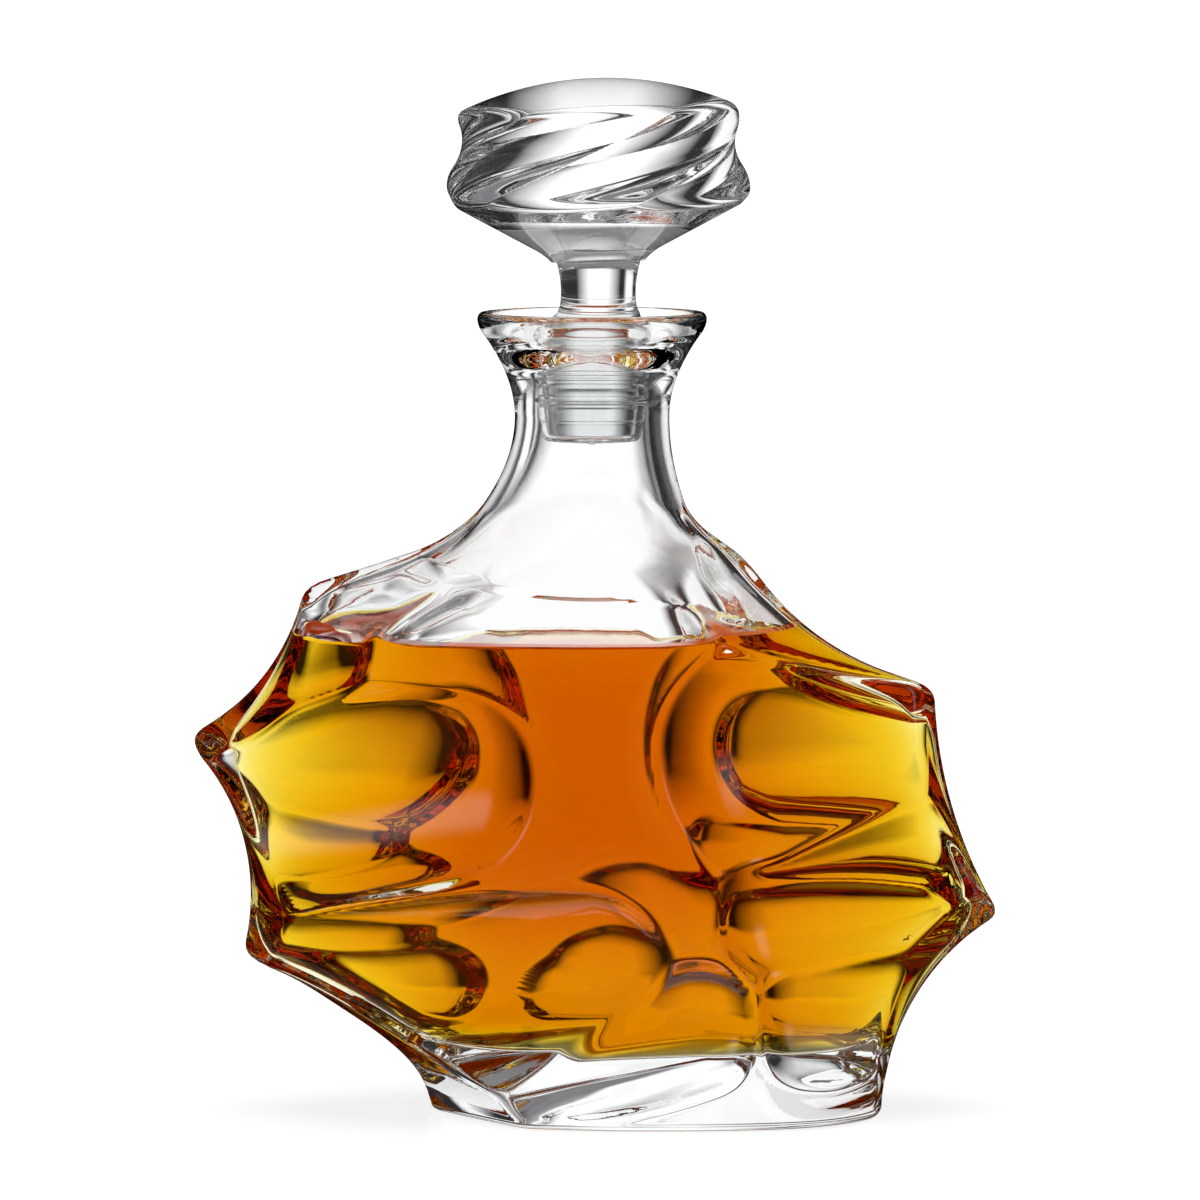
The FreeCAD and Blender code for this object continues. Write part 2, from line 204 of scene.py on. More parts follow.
def half_depth(z):
    """The lens's half thickness: a slight belly below the middle, swept in to the neck over the shoulder."""
    belly = 5.5 * (np.minimum(z - MIDDLE_Z, 0.0) / MIDDLE_Z) ** 2
    return HALF_DEPTH - belly - 25.0 * smooth_step((z - 88.0) / 66.0)


def body_field(x, y, z, k):
    """The star-edged, scooped body. k rounds its ridges."""
    rise = np.maximum(z - 2.0, 0.0)
    foot = oval(x - FOOT_X, y, FOOT_HALF_WIDTH + 0.0445 * rise**2, FOOT_HALF_DEPTH + 0.7 * rise, 2.4)
    field = smooth_max(oval(x, y, BODY_HALF_WIDTH, half_depth(z), 2.3), foot, 4.0)
    c, s = np.cos(TWIST * y), np.sin(TWIST * y)
    u = x * c - (z - MIDDLE_Z) * s
    v = MIDDLE_Z + x * s + (z - MIDDLE_Z) * c
    depth = np.sqrt(y * y + 9.0) - 3.0
    star = np.full(np.shape(field), -1e3)
    for cx, cz, radius in CIRCLES:
        star = smooth_max(star, radius - np.hypot(u - cx, v - cz) + EDGE_BEVEL * depth, k)
    for (px, pz), slope, way in ((LEFT_SHOULDER, LEFT_SLOPE, -1), (RIGHT_SHOULDER, RIGHT_SLOPE, 1)):
        roof = way * (u - px) * math.sin(slope) + (v - pz) * math.cos(slope)
        star = smooth_max(star, roof + SHOULDER_BEVEL * depth, k)
    field = smooth_max(field, star, k + 12.0 * smooth_step((z - 118.0) / 26.0))
    for tool in TOOLS:
        field = smooth_max(field, inside_bar(x, y, z, tool), k)
    return field


def neck_radius(z, side=0.0):
    """Outside radius of the neck: a waist, a flare to the mouth above and a skirt below.

    side runs from -1 at the left of the neck to 1 at its right: the skirt spreads most to the left.
    """
    flare = NECK_R + 8.2 * (np.maximum(z - NECK_Z, 0.0) / 20.0) ** 1.9
    spread = 0.0072 + side**2 * (0.00595 - 0.00435 * side)
    skirt = np.minimum(NECK_R + spread * (NECK_Z - z) ** 2, 30.0 + 10.0 * side**2)
    return np.where(z > NECK_Z, flare, skirt)


def side_of(x, y):
    return x / np.maximum(np.hypot(x, y), 0.001)


def neck_field(x, y, z, wall):
    """The neck as a round bar that ends inside the body."""
    return np.maximum(np.hypot(x, y) - neck_radius(z, side_of(x, y)) + wall, 112.0 - z)


def neck_blend(x, y, z, widest):
    """Width of the fillet between shoulder and neck: tighter at the sides, and gone by the waist."""
    side = side_of(x, y)
    width = widest * (1 - 0.6 * side**2 - 0.15 * side)
    return np.maximum(0.5, width * (1 - smooth_step((z - 135.0) / 25.0)))


def outer_field(x, y, z):
    body = body_field(x, y, z, RIDGE_ROUNDING)
    return smooth_min(body, neck_field(x, y, z, 0.0), neck_blend(x, y, z, 12.0))


def cavity_field(x, y, z):
    """The hollow: the body taken in by the wall, with softer ridges, a flat floor and the neck's bore."""
    body = smooth_max(body_field(x, y, z, CAVITY_ROUNDING) + WALL, FLOOR_Z - z, 6.0)
    return smooth_min(body, neck_field(x, y, z, NECK_WALL), neck_blend(x, y, z, 10.0))


# ---- the stopper's field ----
def flute_depth(x, y, z):
    """Depth of the scalloped flutes, which climb to the right as seen from outside."""
    pitch = 2 * math.pi * HEAD_R / FLUTES * math.sin(FLUTE_SLANT)
    across = HEAD_R * np.arctan2(y, x) * math.sin(FLUTE_SLANT) - (z - RIDGE_Z) * math.cos(FLUTE_SLANT)
    turns = across / pitch
    across = (turns - np.floor(turns) - 0.5) * pitch
    return np.sqrt(FLUTE_R**2 - across**2) - math.sqrt(FLUTE_R**2 - pitch**2 / 4)


def stem_radius(z):
    """Outside radius of the round stem under the head."""
    return SHANK_R + 0.021 * (z - 190.5) ** 2


def head_field(x, y, z):
    dome = np.sqrt((x - DOME_X) ** 2 + y * y + (z - TOTAL_Z + DOME_R) ** 2) - DOME_R
    x = x - HEAD_X
    r = np.hypot(x, y)
    side = (r - HEAD_R - (HEAD_Z - z) * 0.16) * 0.98 + flute_depth(x, y, z) * smooth_step((r - 6.0) / 12.0)
    cone = (np.hypot(x + 0.9, y) - 30.9) * 0.466 - (z - 209.1) * 0.885
    head = smooth_max(smooth_max(dome, side, 1.6), cone, 2.2)
    stem = np.maximum(np.maximum(r - stem_radius(z), z - 212.0), 185.0 - z)
    return smooth_min(head, stem, 4.0)


# ---- skins: rings of points with their normals ----
def scaled(count):
    return count * ROUND // FULL_ROUND


def slope_of(field, p):
    """Outward normals of a field at points, by central differences."""
    e = 0.12
    x, y, z = p[..., 0], p[..., 1], p[..., 2]
    n = np.stack(
        [
            field(x + e, y, z) - field(x - e, y, z),
            field(x, y + e, z) - field(x, y - e, z),
            field(x, y, z + e) - field(x, y, z - e),
        ],
        -1,
    )
    return n / np.linalg.norm(n, axis=-1, keepdims=True)


def fan(field, x, z, tilt, stretch, level=0.0):
    """Rings where rays from axis points leave the field's level. Each argument may differ by ring.

    tilt is in degrees above the level. stretch crowds the rays towards the ends of the oval.
    """
    x, z, tilt, stretch = (np.asarray(a, float)[:, None] for a in np.broadcast_arrays(x, z, tilt, stretch))
    a = np.arange(ROUND) * 2 * math.pi / ROUND
    cx, cy = stretch * np.cos(a), np.sin(a) + 0 * stretch
    length = np.hypot(cx, cy)
    t = np.radians(tilt)
    d = np.stack([cx / length * np.cos(t), cy / length * np.cos(t), np.sin(t) + 0 * cx], -1)
    o = np.stack([x + 0 * cx, 0 * cx, z + 0 * cx], -1)
    near, far = np.zeros(cx.shape), np.full(cx.shape, RAY_END)
    for _ in range(BISECTIONS):
        mid = (near + far) / 2
        p = o + d * mid[..., None]
        inside = field(p[..., 0], p[..., 1], p[..., 2]) < level
        near, far = np.where(inside, mid, near), np.where(inside, far, mid)
    p = o + d * near[..., None]
    return p, slope_of(field, p)


def lathe(profile, fine, count=ROUND, out=1.0):
    """Rings that turn a smooth profile of (r, z) points about the axis, with fine rows between two points.

    out=-1 turns the normals round, for a profile that runs downwards.
    """
    pts = np.array(profile, float)
    pts = np.vstack([2 * pts[0] - pts[1], pts, 2 * pts[-1] - pts[-2]])
    rows, n = [], len(pts) - 3
    for i in range(n):
        for t in np.arange(fine) / fine:
            rise, fall = 3 * t**3 - 6 * t**2 + 4, -3 * t**3 + 3 * t**2 + 3 * t + 1
            rows.append(np.array([(1 - t) ** 3, rise, fall, t**3]) / 6 @ pts[i : i + 4])
    rows.append(pts[-2])
    rows = np.array(rows)
    step = np.gradient(rows, axis=0)
    step /= np.maximum(np.linalg.norm(step, axis=1, keepdims=True), 1e-9)
    nr, nz = step[:, 1] * out, -step[:, 0] * out
    a = np.arange(count) * 2 * math.pi / count
    p = np.stack([rows[:, :1] * np.cos(a), rows[:, :1] * np.sin(a), rows[:, 1:] + 0 * a], -1)
    n = np.stack([nr[:, None] * np.cos(a), nr[:, None] * np.sin(a), nz[:, None] + 0 * a], -1)
    return p, n


def facing(normal, shape):
    return np.broadcast_to(np.array(normal, float), shape).copy()


def body_rings(field, low, high, level=0.0):
    """Level rings, whose centres move from over the foot to the neck's axis."""
    z = np.linspace(low, high, max(2, int((high - low) / (ROW * FULL_ROUND / ROUND)) + 1))
    return fan(field, FOOT_X * (1 - smooth_step(z / 70.0)), z, 0.0, 2.0, level)


# Over the shoulder the rays lean: height on the axis and degrees above the level, from body to neck.
FAN = [
    (105, 0), (106.5, 8), (107.5, 16), (108.5, 23), (110, 30), (112, 36), (114.5, 41.5), (117.5, 46),
    (121, 49.5), (125, 51), (129.5, 50.5), (134, 48), (139, 43.5), (144, 37), (149, 29), (153.5, 20),
    (157.5, 11), (162, 0),
]
# The cavity's fan starts at the level of the spirit, and joins the other one at its steepest.
THROAT_FAN = [
    (FILL_Z, 0), (111.2, 9), (112.2, 18), (113.6, 27), (115.4, 35), (117.8, 42), (120.8, 47),
] + FAN[9:]


def shoulder_rings(field, axis):
    knots = np.arange(len(axis))
    t = np.linspace(0, len(axis) - 1, scaled(140))[1:]
    z = np.interp(t, knots, [f[0] for f in axis])
    tilt = np.interp(t, knots, [f[1] for f in axis])
    return fan(field, 0.0, z, tilt, 2.0 - smooth_step(t / (len(axis) - 1)))


def corner_rings(level=0.0):
    """The cavity's rounded bottom corner, from its side down to its floor."""
    tilt = np.linspace(0, CORNER_TILT, scaled(70))[1:]
    return fan(cavity_field, FOOT_X, CORNER_Z, -tilt, 2.0 - 0.4 * smooth_step(tilt / 12), level)


def joined(parts):
    return np.concatenate([p for p, _ in parts]), np.concatenate([n for _, n in parts])


def mirrored(part):
    return part[0][::-1], part[1][::-1]


def turned(part):
    """The same rings as seen from the other side of the skin."""
    return part[0], -part[1]


def cap(ring, centre, normal, shares):
    """Rings that draw a ring in to near its centre, all facing one way."""
    centre = np.array(centre, float)
    p = np.stack([centre + (ring - centre) * s for s in shares])
    return p, facing(normal, p.shape)


def floor_cap(ring, z, normal):
    """The flat floor of the cavity inside a ring, at this height."""
    ring = ring.copy()
    ring[:, 2] = z
    return cap(ring, (FOOT_X, 0, z), normal, (0.97, 0.8, 0.6, 0.4, 0.2, 0.01))


def placed(name, data):
    ob = bpy.data.objects.new(name, data)
    bpy.context.scene.collection.objects.link(ob)
    return ob


def skin(name, part, fit=None, split=None):
    """A closed mesh through rings of points, with a small face over each end, and its own smooth normals.

    fit names a solid whose box the skin is drawn into, where it would stand a hair outside. Faces from ring
    split on are marked, so that a material can tell them apart.
    """
    p, n = part
    if fit:
        low, high = (np.array(c) * 1000 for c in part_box(fit))
        for axis in range(3):
            top, bottom = p[..., axis].max(), p[..., axis].min()
            if top > high[axis]:
                p[..., axis] = np.where(p[..., axis] > 0, p[..., axis] * high[axis] / top, p[..., axis])
            if bottom < low[axis] and abs(bottom) > 1:
                p[..., axis] = np.where(p[..., axis] < 0, p[..., axis] * low[axis] / bottom, p[..., axis])
    rows, count = p.shape[:2]
    i = np.arange(rows - 1)[:, None] * count
    j = np.arange(count)[None, :]
    k = (j + 1) % count
    quads = np.stack([i + j, i + k, i + count + k, i + count + j], -1).reshape(-1, 4)
    faces = quads.tolist() + [list(range(count))[::-1], [(rows - 1) * count + m for m in range(count)]]
    mesh = bpy.data.meshes.new(name)
    mesh.from_pydata((p.reshape(-1, 3) / 1000).tolist(), [], faces)
    if split:
        first = (split - 1) * count
        marks = [float(i >= first and i != len(faces) - 2) for i in range(len(faces))]
        mesh.attributes.new("split", "FLOAT", "FACE").data.foreach_set("value", marks)
    mesh.polygons.foreach_set("use_smooth", [True] * len(mesh.polygons))
    mesh.normals_split_custom_set_from_vertices(n.reshape(-1, 3).tolist())
    mesh.update()
    return placed(name, mesh)


# ---- the four pieces ----
def vessel():
    """The glass's skin, from under the foot over the lip and down to the cavity's floor.

    Also the number of its rings above the level of the spirit.
    """
    side = body_rings(outer_field, HEEL_R, FAN[0][0])
    foot = side[0][0]
    centre = (FOOT_X, 0.0, 0.0)
    away = foot - np.array([FOOT_X, 0, foot[0, 2]])
    away[:, 2] = 0
    away /= np.linalg.norm(away, axis=1, keepdims=True)
    heel_p, heel_n = [], []
    for turn in np.radians([2, 20, 40, 60, 80]):
        ring = foot - away * HEEL_R * (1 - math.sin(turn))
        ring[:, 2] = HEEL_R - HEEL_R * math.cos(turn)
        normal = away * math.sin(turn)
        normal[:, 2] = -math.cos(turn)
        heel_p.append(ring)
        heel_n.append(normal)
    heel = (np.array(heel_p), np.array(heel_n))
    under = mirrored(cap(heel_p[0], centre, (0, 0, -1), (0.995, 0.97, 0.8, 0.6, 0.4, 0.2, 0.01)))
    neck_z = np.linspace(NECK_Z + 0.8, 180.5, 24)
    neck = lathe([(float(neck_radius(z)), z) for z in neck_z], 1)
    lip = lathe(
        [
            (25.6, 181.0), (26.35, 182.2), (26.85, 183.6), (26.9, 184.9), (26.3, 185.8), (25.5, MOUTH_Z),
            (24.7, 185.9), (24.0, 185.1), (23.1, 183.6), (21.8, 181.8), (20.2, 180.2), (17.9, 178.2),
            (15.8, 176.4), (14.4, 175.0), (13.6, 174.0), (BORE_R, 172.6), (BORE_R, 170.0),
        ],
        5,
    )
    bore = lathe([(BORE_R, z) for z in (169.5, 168, 166, 164, 162.6)], 1)
    throat = mirrored(turned(shoulder_rings(cavity_field, THROAT_FAN)))
    hollow = mirrored(turned(body_rings(cavity_field, CORNER_Z, FILL_Z)))
    corner = turned(corner_rings())
    floor = floor_cap(corner[0][-1], FLOOR_Z, (0, 0, 1))
    dry = [under, heel, side, shoulder_rings(outer_field, FAN), neck, lip, bore, throat]
    return joined(dry + [hollow, corner, floor]), sum(len(p) for p, _ in dry)


def spirit():
    """The liquid's skin, from its floor up, and the number of its rings under the level surface."""
    corner = mirrored(corner_rings(-FILL_GAP))
    floor = mirrored(floor_cap(corner[0][0], FLOOR_Z + FILL_GAP, (0, 0, -1)))
    side = body_rings(cavity_field, CORNER_Z, FILL_Z, -FILL_GAP)
    rim = side[0][-1]
    # The level surface climbs the glass a little at its edge.
    shares = (0.9995, 0.995, 0.99, 0.982, 0.97, 0.955, 0.93, 0.9, 0.8, 0.6, 0.4, 0.2, 0.01)
    p, n = cap(rim, (0, 0, FILL_Z), (0, 0, 1), shares)
    for ring, normal in zip(p, n):
        gap = np.linalg.norm(rim[:, :2] - ring[:, :2], axis=1)
        near_edge = np.exp(-gap / CREEP_REACH)
        ring[:, 2] = FILL_Z - CREEP + CREEP * near_edge
        lean = rim - ring
        lean[:, 2] = 0
        lean /= np.maximum(np.linalg.norm(lean, axis=1, keepdims=True), 1e-9)
        normal -= lean * (1.2 * near_edge)[:, None]
    n /= np.linalg.norm(n, axis=-1, keepdims=True)
    wall = [floor, corner, side]
    return joined(wall + [(p, n)]), sum(len(p) for p, _ in wall)


def stopper():
    tilt = [(89.2, 40, 60), (39.2, -14, 110), (-14.8, -61.5, 70)]  # crown, flutes, cone: from, to, rings
    tilt = np.concatenate([np.linspace(*span) for span in tilt])
    head = fan(head_field, HEAD_X, HEAD_Z - 4, tilt, 1.0)
    stem = lathe([(float(stem_radius(z)), z) for z in np.linspace(198.0, 188.5, 20)], 1, out=-1)
    taper = (TANG_TOP_R - TANG_FOOT_R) / (TAPER_Z - TANG_FOOT_Z)
    tang = lathe(
        [
            (9.0, 187.4), (9.5, 186.0), (10.3, 184.9), (10.95, 184.2), (11.1, 183.4), (10.8, 182.7),
            (11.3, 182.2), (11.65, 181.7), (TANG_TOP_R, 180.9), (TANG_TOP_R, 178.5), (TANG_TOP_R, 176.0),
        ]
        + [(TANG_TOP_R - taper * (TAPER_Z - z), z) for z in (174, 171, 168, 165, 162, 160, 158.6)]
        + [(TANG_FOOT_R, 157.9), (TANG_FOOT_R - 0.5, TANG_FOOT_Z), (TANG_FOOT_R - 1.4, TANG_FOOT_Z)],
        4,
        out=-1,
    )
    foot = cap(tang[0][-1], (0, 0, TANG_FOOT_Z), (0, 0, -1), (0.99, 0.7, 0.4, 0.02))
    for rings, _ in (stem, tang):
        rings[..., 0] += HEAD_X * smooth_step((rings[..., 2] - SHIFT_Z) / SHIFT_SPAN)
    p, n = joined([head, stem, tang, foot])
    return p[::-1], n[::-1]


def sleeve():
    """A cup over the tang: its nib, foot, two sealing lips and brim, then back down inside."""
    lip = BORE_R - 0.07
    inner = TANG_FOOT_R + 0.1
    outline = [
        (0.01, 155.2), (0.7, 155.2), (1.0, 155.5), (1.3, 156.0), (5.0, 156.0), (9.2, 156.0), (10.3, 156.15),
        (11.0, 156.7), (11.35, 157.6), (11.6, 159.5), (11.85, 161.0), (12.1, 161.4), (12.2, 161.6),
        (12.2, 163.5), (12.35, 165.4), (12.7, 165.9), (lip - 0.05, 166.3), (lip - 0.05, 166.9), (12.8, 167.3),
        (12.5, 167.8), (12.5, 169.6), (12.6, 170.8), (12.8, 171.2), (lip, 171.7), (lip, 172.4), (12.9, 172.9),
        (12.6, 173.4), (12.6, 175.2), (12.9, 175.8), (13.5, 176.3), (13.85, 177.0), (13.95, 178.4),
        (13.95, 179.4), (13.7, 180.1), (13.2, 180.35), (12.2, 180.35), (11.65, 180.2), (11.47, 179.6),
        (11.46, 176.6), (11.1, 172.0), (10.75, 167.0), (10.35, 161.5), (inner, 158.2), (inner - 0.3, 157.35),
        (inner - 1.2, 157.2), (5.0, 157.2), (0.01, 157.2),
    ]
    return lathe(outline, 4, SLEEVE_ROUND)


rings, wet_from = vessel()
glass = skin("crystal_vessel", rings, "decanter_body", wet_from)
rings, level_from = spirit()
fill = skin("amber_spirit", rings, None, level_from)
plug = skin("crystal_stopper", stopper(), "stopper")
seal = skin("moulded_sleeve", sleeve(), "sealing_sleeve")
for piece, node, body, slot in (
    (glass, "decanter_body", "decanter", "crystal"),
    (fill, "spirit_fill", "decanter", "spirit"),
    (plug, "stopper", "stopper", "crystal"),
    (seal, "sealing_sleeve", "seal", "seal"),
):
    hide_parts(node)
    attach(piece, body)


# ---- materials ----
GLASS_IOR = 1.52
SPIRIT_IOR = 1.36
POLYMER_IOR = 1.48
PURE_WHITE = (1, 1, 1, 1)


class Nodes:
    """Short hand for building one material's node tree."""

    def __init__(self, name):
        self.material = bpy.data.materials.new(name)
        self.material.use_nodes = True
        self.tree = self.material.node_tree
        self.shader = self.tree.nodes["Principled BSDF"]
        self.output = self.tree.nodes["Material Output"]

    def add(self, kind, inputs=None, **settings):
        node = self.tree.nodes.new(kind)
        for key, value in settings.items():
            setattr(node, key, value)
        for key, value in (inputs or {}).items():
            if isinstance(value, bpy.types.NodeSocket):
                self.tree.links.new(value, node.inputs[key])
            else:
                node.inputs[key].default_value = value
        return node

    def link(self, a, b):
        self.tree.links.new(a, b)

    def place(self):
        return self.add("ShaderNodeTexCoord").outputs["Object"]

    def calc(self, operation, *values):
        inputs = dict(enumerate(values))
        return self.add("ShaderNodeMath", inputs, operation=operation).outputs["Value"]

    def length(self, vector):
        return self.add("ShaderNodeVectorMath", {0: vector}, operation="LENGTH").outputs["Value"]

    def noise(self, scale, detail=2.0, rough=0.5, stretch=None):
        where = self.place()
        if stretch:
            mapping = {"Vector": where, "Scale": stretch}
            where = self.add("ShaderNodeMapping", mapping).outputs["Vector"]
        inputs = {"Vector": where, "Scale": scale, "Detail": detail, "Roughness": rough}
        return self.add("ShaderNodeTexNoise", inputs).outputs["Fac"]

    def spread(self, value, low, high, start=0.3, end=0.7, **settings):
        """A value that runs from low to high while the input runs from start to end."""
        inputs = {"Value": value, "From Min": start, "From Max": end, "To Min": low, "To Max": high}
        return self.add("ShaderNodeMapRange", inputs, **settings).outputs["Result"]

    def bump(self, height, distance, strength=1.0, normal=None):
        inputs = {"Height": height, "Distance": distance, "Strength": strength}
        if normal:
            inputs["Normal"] = normal
        return self.add("ShaderNodeBump", inputs).outputs["Normal"]

    def tint(self, noise, first, second):
        """Colour the shader with a mix of two near-whites."""
        mix = self.add("ShaderNodeMix", {"Factor": self.spread(noise, 0.0, 1.0)}, data_type="RGBA")
        mix.inputs["A"].default_value = (*first, 1)
        mix.inputs["B"].default_value = (*second, 1)
        self.link(mix.outputs["Result"], self.shader.inputs["Base Color"])

    def surface(self, share, first, second):
        """Give the material a mix of two shaders."""
        mix = self.add("ShaderNodeMixShader", {0: share, 1: first.outputs[0], 2: second.outputs[0]})
        self.link(mix.outputs["Shader"], self.output.inputs["Surface"])

    def emission(self, colour, strength):
        return self.add("ShaderNodeEmission", {"Color": colour, "Strength": strength})


def crystal(name, waves, ior=GLASS_IOR):
    """Fire-polished pressed glass: clear, with slow waves in its surface and faint wipe marks in its gloss.

    waves is how deep the slow waves are, in metres.
    """
    m = Nodes(name)
    s = m.shader.inputs
    s["IOR"].default_value = ior
    s["Transmission Weight"].default_value = 1.0
    slow = m.noise(28.0, 1.0, 0.4)
    fine = m.noise(160.0)
    normal = m.bump(fine, 0.00004, 0.6, m.bump(slow, waves))
    m.link(normal, s["Normal"])
    wipe = m.noise(55.0, 4.0, 0.6, (1.0, 1.0, 0.35))
    m.link(m.spread(wipe, 0.0, 0.018, 0.45, 0.8), s["Roughness"])
    m.tint(slow, (0.985, 0.992, 0.99), (0.965, 0.98, 0.982))
    return m.material


def liquid():
    """Clear amber spirit: its colour comes from its depth.

    Only its level surface bends light by itself, because the glass's wetted skin already bends it between
    glass and spirit.
    """
    m = Nodes("amber_spirit")
    level = m.add("ShaderNodeBsdfPrincipled")
    m.link(m.bump(m.noise(18.0, 1.0), 0.00012), level.inputs["Normal"])
    for shader, ior in ((m.shader, 1.0), (level, SPIRIT_IOR)):
        shader.inputs["Base Color"].default_value = PURE_WHITE
        shader.inputs["Roughness"].default_value = 0.0
        shader.inputs["IOR"].default_value = ior
        shader.inputs["Transmission Weight"].default_value = 1.0
    mark = m.add("ShaderNodeAttribute", attribute_name="split")
    m.surface(mark.outputs["Fac"], m.shader, level)
    volume = m.add("ShaderNodeVolumeAbsorption", {"Color": (0.966, 0.85, 0.0, 1), "Density": 200.0})
    m.link(volume.outputs["Volume"], m.output.inputs["Volume"])
    return m.material


def polymer():
    """Clear moulded plastic, very slightly cloudy, with faint rings from its mould."""
    m = Nodes("moulded_sleeve")
    s = m.shader.inputs
    s["IOR"].default_value = POLYMER_IOR
    s["Transmission Weight"].default_value = 1.0
    cloud = m.noise(90.0, 3.0)
    m.tint(cloud, (1.0, 1.0, 1.0), (0.975, 0.98, 0.98))
    m.link(m.spread(cloud, 0.0, 0.05), s["Roughness"])
    rings = m.noise(260.0, 2.0, 0.5, (0.05, 0.05, 2.2))
    m.link(m.bump(rings, 0.00012), s["Normal"])
    return m.material


glass.data.materials.append(crystal("crystal_vessel", 0.0009))
glass.data.materials.append(crystal("crystal_wetted", 0.0009, GLASS_IOR / SPIRIT_IOR))
wetted = np.zeros(len(glass.data.polygons))
glass.data.attributes["split"].data.foreach_get("value", wetted)
glass.data.polygons.foreach_set("material_index", wetted.astype(int))
plug.data.materials.append(crystal("crystal_stopper", 0.0006))
fill.data.materials.append(liquid())
seal.data.materials.append(polymer())


# ---- stage, lights and camera: from here on in metres ----
WHITE = 1.2  # brightness of the studio's white behind the glass
FLOOR_RADIUS = 15
SHEEN_END = 0.1  # the floor shows a sheen and a shadow up to here
GLOW_START = 0.32  # and is evenly bright from here

# How dark the ring of flags is (0 is open to the white studio), by azimuth in degrees from the front.
SURROUND = [
    (-180, 0), (-171, 0), (-155, 1), (-149, 1), (-142, 0), (-128, 0), (-120, 1), (-105, 1), (-97, 0),
    (-83, 0), (-75, 1), (30, 1), (38, 0), (52, 0), (60, 1), (155, 1), (171, 0), (180, 0),
]
SURROUND_R = 0.8
SURROUND_TOP = 0.62
SURROUND_FOOT = 0.001  # the ring's skirt lies this far above the floor
SURROUND_GREY = (0.03, 0.03, 0.033, 1)
SKIRT_START = 0.2  # the skirt darkens from here
SKIRT_END = 0.4  # to here


def aimed(ob, place, aim):
    ob.location = place
    ob.rotation_euler = (Vector(aim) - Vector(place)).to_track_quat("-Z", "Y").to_euler()


def hidden(ob, *rays):
    """Take an object out of the view of some kinds of rays."""
    for ray in rays:
        setattr(ob, "visible_" + ray, False)


def circle(radius, count, z=0.0):
    turn = [2 * math.pi * i / count for i in range(count)]
    return [(radius * math.cos(a), radius * math.sin(a), z) for a in turn]


def stage_mesh(name, points, faces, material):
    mesh = bpy.data.meshes.new(name)
    mesh.from_pydata(points, [], faces)
    mesh.materials.append(material)
    return placed(name, mesh)


def pale_floor():
    """White sweep: a faint sheen near the object, and evenly bright further out."""
    m = Nodes("pale_floor")
    s = m.shader.inputs
    m.tint(m.noise(3.0, 3.0), (0.95, 0.95, 0.95), (0.93, 0.93, 0.93))
    s["Roughness"].default_value = 0.16
    s["Specular IOR Level"].default_value = 0.3
    share = m.spread(m.length(m.place()), 0.7, 1.0, SHEEN_END, GLOW_START)
    m.surface(share, m.shader, m.emission(PURE_WHITE, WHITE))
    return m.material


def flags():
    """Black cloth with soft openings, as SURROUND gives them, and a skirt that fades out towards the object."""
    m = Nodes("surround")
    where = m.place()
    split = m.add("ShaderNodeSeparateXYZ", {0: where}).outputs
    around = m.calc("ARCTAN2", split["X"], m.calc("MULTIPLY", split["Y"], -1.0))
    dark = m.add("ShaderNodeValToRGB", {"Fac": m.spread(around, 0.0, 1.0, -math.pi, math.pi)})
    stops = dark.color_ramp.elements
    while len(stops) < len(SURROUND):
        stops.new(0.5)
    for stop, (azimuth, shade) in zip(stops, SURROUND):
        stop.position = azimuth / 360 + 0.5
        stop.color = (shade, shade, shade, 1)
    level = m.add("ShaderNodeCombineXYZ", {0: split["X"], 1: split["Y"]}).outputs["Vector"]
    fade = m.spread(m.length(level), 0.0, 1.0, SKIRT_START, SKIRT_END)
    share = m.calc("MULTIPLY", dark.outputs["Color"], fade)
    m.surface(share, m.add("ShaderNodeBsdfTransparent"), m.emission(SURROUND_GREY, 1.0))
    return m.material


def surround():
    """A ring of black flags round the object. The glass bends its view into it, the camera does not see it."""
    count = 144
    points, faces = [], []
    for radius, z in ((SKIRT_START, SURROUND_FOOT), (SURROUND_R, SURROUND_FOOT), (SURROUND_R, SURROUND_TOP)):
        points += circle(radius, count, z)
    for level in (0, count):
        for i in range(count):
            j = (i + 1) % count
            faces.append((level + i, level + j, level + count + j, level + count + i))
    ob = stage_mesh("surround", points, faces, flags())
    hidden(ob, "camera", "shadow", "diffuse", "glossy")


def glow_card(name, place, aim, size, strength):
    """A bright card with soft edges that only shows as a reflection in the glass."""
    m = Nodes(name)
    split = m.add("ShaderNodeSeparateXYZ", {0: m.place()}).outputs
    shares = []
    for axis, width in zip("XY", size):
        off = m.calc("ABSOLUTE", split[axis])
        shares.append(m.spread(off, 1.0, 0.0, width * 0.1, width * 0.5, interpolation_type="SMOOTHSTEP"))
    level = m.calc("MULTIPLY", m.calc("MULTIPLY", *shares), strength)
    m.link(m.emission(PURE_WHITE, level).outputs[0], m.output.inputs["Surface"])
    x, y = size[0] / 2, size[1] / 2
    ob = stage_mesh(name, [(-x, -y, 0), (x, -y, 0), (x, y, 0), (-x, y, 0)], [(0, 1, 2, 3)], m.material)
    aimed(ob, place, aim)
    hidden(ob, "camera", "shadow", "diffuse", "transmission")


def top_box():
    """A square area light overhead, for the floor's shadow only: the glass does not show it."""
    light = bpy.data.lights.new("top_box", "AREA")
    light.shape = "RECTANGLE"
    light.size = light.size_y = 1.1
    light.energy = 26
    ob = placed("top_box", light)
    aimed(ob, (0, 0, 1.5), (0, 0, 0))
    hidden(ob, "glossy", "transmission")


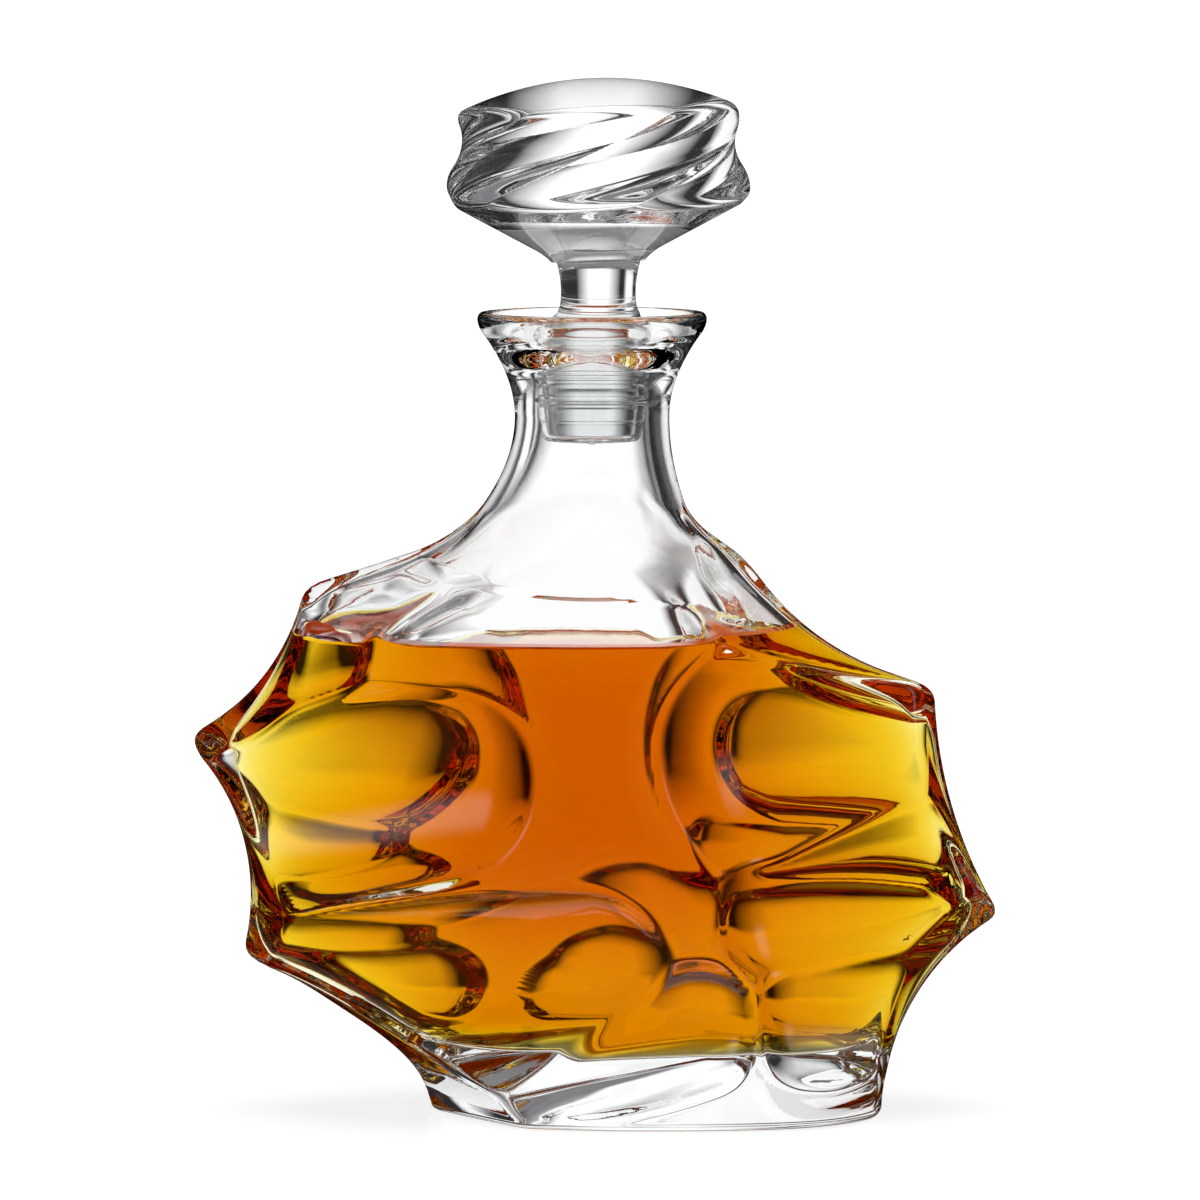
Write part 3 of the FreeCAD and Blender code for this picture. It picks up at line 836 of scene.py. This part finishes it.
def studio_sky():
    """White all round, which falls off to grey overhead and is not reflected."""
    world = bpy.data.worlds.new("studio")
    bpy.context.scene.world = world
    world.use_nodes = True
    tree = world.node_tree
    background = tree.nodes["Background"]
    where = tree.nodes.new("ShaderNodeTexCoord")
    split = tree.nodes.new("ShaderNodeSeparateXYZ")
    ramp = tree.nodes.new("ShaderNodeValToRGB")
    tree.links.new(where.outputs["Generated"], split.inputs[0])
    tree.links.new(split.outputs["Z"], ramp.inputs["Fac"])
    tree.links.new(ramp.outputs["Color"], background.inputs["Color"])
    for stop, height, colour in zip(ramp.color_ramp.elements, (0.2, 0.5), (PURE_WHITE, (0.2, 0.2, 0.21, 1))):
        stop.position = height
        stop.color = colour
    background.inputs["Strength"].default_value = WHITE
    world.cycles_visibility.glossy = False


floor = stage_mesh("floor", circle(FLOOR_RADIUS, 96), [list(range(96))], pale_floor())
floor.visible_glossy = False
surround()
top_box()
glow_card("top_glow", (0, -0.2, 1.5), (0, 0, 0), (1.6, 1.6), 1.2)
glow_card("left_glow", (-1.3, -0.9, 0.6), (0, 0, 0.12), (0.7, 1.1), 1.6)
glow_card("right_glow", (1.4, -0.7, 0.5), (0, 0, 0.12), (0.5, 1.0), 1.3)
studio_sky()

scene = bpy.context.scene
scene.view_settings.view_transform = "Standard"
# A stopper in a sleeve in a neck takes light through many surfaces before it gets out again.
scene.cycles.max_bounces = 18
scene.cycles.transmission_bounces = 18
scene.cycles.glossy_bounces = 12
scene.cycles.transparent_max_bounces = 16

TARGET = Vector((0.00186, 0, 0.119))
CAMERA_RISE = math.radians(4.85)  # how far the camera looks down
CAMERA_AWAY = 1.9067
FIELD_WIDTH = 0.2785  # what the picture spans at the target
SENSOR = 36
camera = bpy.data.cameras.new("camera")
camera_ob = placed("camera", camera)
scene.camera = camera_ob
aimed(camera_ob, TARGET + Vector((0, -math.cos(CAMERA_RISE), math.sin(CAMERA_RISE))) * CAMERA_AWAY, TARGET)
camera.sensor_width = SENSOR
camera.lens = SENSOR * CAMERA_AWAY / FIELD_WIDTH
camera.clip_end = 20
